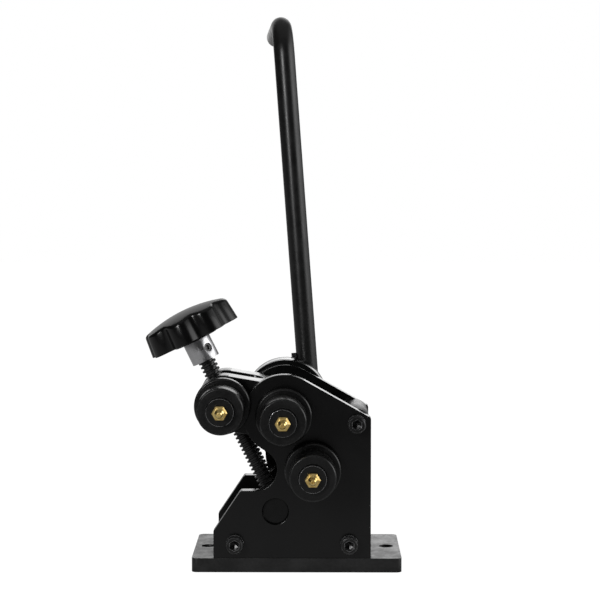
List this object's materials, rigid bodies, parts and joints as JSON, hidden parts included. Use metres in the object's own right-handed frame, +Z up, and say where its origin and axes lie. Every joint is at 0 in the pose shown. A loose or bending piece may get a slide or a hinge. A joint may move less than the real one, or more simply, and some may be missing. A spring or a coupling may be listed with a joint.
{
  "type": "ring roller bender",
  "caption": "Bench ring roller bender: stepped rollers in front of plates on a base, a geared hand crank and a knobbed screw that swings one roller.",
  "frame": {"origin": "middle of the base's underside, between the two bench holes", "axes": "+X to the right seen from the rollers, +Y from the rollers to the crank, +Z up"},
  "size_m": [0.2337, 0.3588, 0.5085],
  "materials": {
    "base_paint": "satin",
    "black_paint": "semi-gloss",
    "black_oxide": "satin",
    "dark_steel": "satin",
    "bright_steel": "machined",
    "gear_steel": "greased",
    "bronze": "turned",
    "brass": "turned",
    "knob_plastic": "gloss",
    "plug_plastic": "matte"
  },
  "bodies": {
    "frame": {"base_plate": "base_paint", "front_plate": "black_paint", "rear_plate": "black_paint", "tie_spacers": "bright_steel", "plate_bolts": "dark_steel", "base_bolts": "bright_steel", "plate_bushes": "bronze", "gear_cover": "black_paint", "cover_sheet": "black_paint", "cover_screws": "bright_steel", "cover_bush": "bronze"},
    "crank": {"shaft_b": "black_oxide", "roller_b": "black_oxide", "roller_key_b": "bright_steel", "thrust_washer_b": "bronze", "nipple_b": "brass", "gear_b": "gear_steel", "gear_key_b": "bright_steel", "gear_clip_b": "bright_steel", "crank_hub": "black_paint", "hub_pin": "bright_steel", "handle": "black_paint", "handle_bolt": "dark_steel", "grip_plug": "plug_plastic"},
    "upper_roller": {"shaft_a": "black_oxide", "roller_a": "black_oxide", "roller_key_a": "bright_steel", "thrust_washer_a": "bronze", "nipple_a": "brass", "gear_a": "gear_steel", "gear_key_a": "bright_steel", "gear_clip_a": "bright_steel"},
    "arm": {"arm_block": "black_paint", "arm_bushes": "bronze"},
    "left_axle": {"axle_c": "black_oxide", "axle_washer": "bright_steel", "axle_clip": "bright_steel", "nipple_c": "brass", "roller_c_ring": "bright_steel"},
    "left_roller": {"roller_c": "black_oxide", "roller_c_bush": "bronze"},
    "screw_pivot": {"pivot_bar": "black_paint"},
    "feed_screw": {"lead_screw": "dark_steel", "screw_washers": "bright_steel", "screw_nut": "bright_steel", "knob_hub": "bright_steel", "knob_set_screw": "dark_steel", "knob": "knob_plastic"}
  },
  "joints": [
    {"name": "crank_turn", "type": "hinge", "parent": "frame", "child": "crank", "pos_m": [0.01452, -0.0055, 0.09274], "axis": [0, 1, 0], "continuous": true},
    {"name": "upper_roller_turn", "type": "hinge", "parent": "frame", "child": "upper_roller", "pos_m": [-0.0113, -0.0055, 0.1413], "axis": [0, 1, 0], "continuous": true},
    {"name": "pivot_tilt", "type": "hinge", "parent": "frame", "child": "screw_pivot", "pos_m": [-0.0189, -0.0055, 0.0547], "axis": [0, -1, 0], "range_deg": [0, 9.55]},
    {"name": "knob_turn", "type": "hinge", "parent": "screw_pivot", "child": "feed_screw", "pos_m": [-0.0189, -0.0055, 0.0547], "axis": [-0.4404, 0, 0.8978], "range_deg": [0, 4050]},
    {"name": "arm_swing", "type": "hinge", "parent": "frame", "child": "arm", "pos_m": [-0.0113, -0.0055, 0.1413], "axis": [0, -1, 0], "range_deg": [0, 50.05]},
    {"name": "axle_swivel", "type": "hinge", "parent": "arm", "child": "left_axle", "pos_m": [-0.06551, -0.0055, 0.15057], "axis": [0, -1, 0], "range_deg": [-40.55, 0]},
    {"name": "left_roller_turn", "type": "hinge", "parent": "left_axle", "child": "left_roller", "pos_m": [-0.06551, -0.0055, 0.15057], "axis": [0, 1, 0], "continuous": true}
  ],
  "couplings": [
    {"joint": "upper_roller_turn", "follows": "crank_turn", "ratio": -1},
    {"joint": "arm_swing", "follows": "knob_turn", "ratio": 0.012346},
    {"joint": "pivot_tilt", "follows": "knob_turn", "ratio": 0.0023457},
    {"joint": "axle_swivel", "follows": "knob_turn", "ratio": -0.01}
  ]
}
